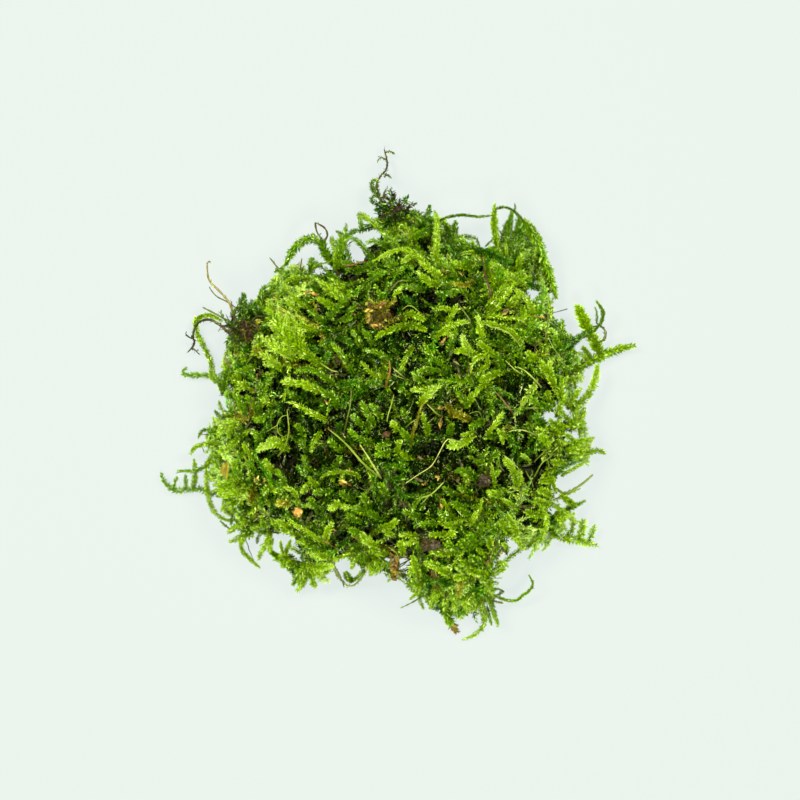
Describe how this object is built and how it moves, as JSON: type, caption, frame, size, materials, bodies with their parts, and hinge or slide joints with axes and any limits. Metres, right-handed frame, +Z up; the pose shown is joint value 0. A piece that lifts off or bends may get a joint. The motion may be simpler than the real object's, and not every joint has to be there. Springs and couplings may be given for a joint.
{
  "type": "moss clump",
  "caption": "Loose clump of tangled feathery green moss with stray shoots, bare stems and bits of humus, for laying on a flat surface.",
  "frame": {"origin": "middle of the flat underside that the clump rests on, under the middle of the dense mass", "axes": "+Z up, away from the surface it rests on; +Y towards the far side, where the dark stray stem stands out; +X to the right seen from above"},
  "size_m": [0.0963, 0.1002, 0.0349],
  "materials": {
    "moss_mass": "matte, damp, fine leafy",
    "leaf_lime": "thin translucent leaves with a damp sheen",
    "leaf_green": "thin leaves with a damp sheen",
    "stem_olive": "smooth thin living stem",
    "stem_brown": "dry dead stem",
    "stem_dark": "rotten dark stem",
    "humus": "crumbly dark humus",
    "bark_grey": "weathered bark",
    "fibre_pale": "dry pale fibre",
    "crumb_orange": "dry orange crumb",
    "leaf_yellow": "yellowed leaf"
  },
  "bodies": {
    "root": {"moss_tangle": "moss_mass", "humus_top": "humus", "root_mass_left": "humus", "scrap_bark_near": "bark_grey", "scrap_bark_right": "bark_grey", "dead_leaves_centre": "stem_brown", "crumb_orange": "crumb_orange", "bead_brown": "stem_brown", "leaf_yellow_wedge": "leaf_yellow", "scrap_orange_near": "crumb_orange", "stem_top_dark": "stem_dark", "loop_brown_top_left": "stem_brown", "shoot_top_left_arch": "leaf_lime", "stem_top_left_small": "stem_olive", "frond_upper_right": "leaf_green", "stem_top_bridge": "stem_olive", "stem_twin_left_a": "stem_olive", "stem_twin_left_b": "stem_olive", "stem_left_upper": "stem_brown", "shoot_left_loop": "leaf_lime", "twig_left_dark": "stem_dark", "shoot_left_level": "leaf_green", "hook_left_upper": "leaf_green", "hook_left_lower": "leaf_green", "shoot_left_long": "leaf_green", "shoot_left_long_branch_1": "leaf_green", "shoot_left_long_branch_2": "leaf_green", "shoot_left_long_branch_3": "leaf_green", "stem_left_thin": "stem_olive", "shoot_left_drop": "leaf_green", "stem_lower_left": "stem_olive", "shoot_lower_left_lobe": "leaf_lime", "stem_bottom_loop": "stem_olive", "stem_bottom_thin": "stem_dark", "shoot_bottom_brown_tip": "leaf_green", "shoot_bottom_hook": "leaf_lime", "shoot_bottom_right": "leaf_green", "stem_bottom_right_curl": "stem_brown", "shoot_lower_right": "leaf_lime", "shoot_lower_right_branch_1": "leaf_lime", "shoot_lower_right_branch_2": "leaf_lime", "shoot_lower_right_branch_3": "leaf_lime", "shoot_right_low": "leaf_green", "stem_right_thin": "stem_olive", "shoot_right_tip": "leaf_green", "shoot_right_upright": "leaf_green", "shoot_right_long": "leaf_green", "shoot_right_long_branch": "leaf_green", "shoot_right_fat": "leaf_lime", "stem_right_fork": "stem_dark", "stem_right_upper": "stem_olive", "loop_right": "stem_dark", "shoot_top_upright": "leaf_lime", "frond_lime_upper_left": "leaf_lime", "shoot_lime_left": "leaf_lime", "fibre_pale": "fibre_pale", "stem_red_upper": "stem_brown", "stem_red_right": "stem_brown", "stem_yellow": "stem_olive"}
  },
  "joints": []
}
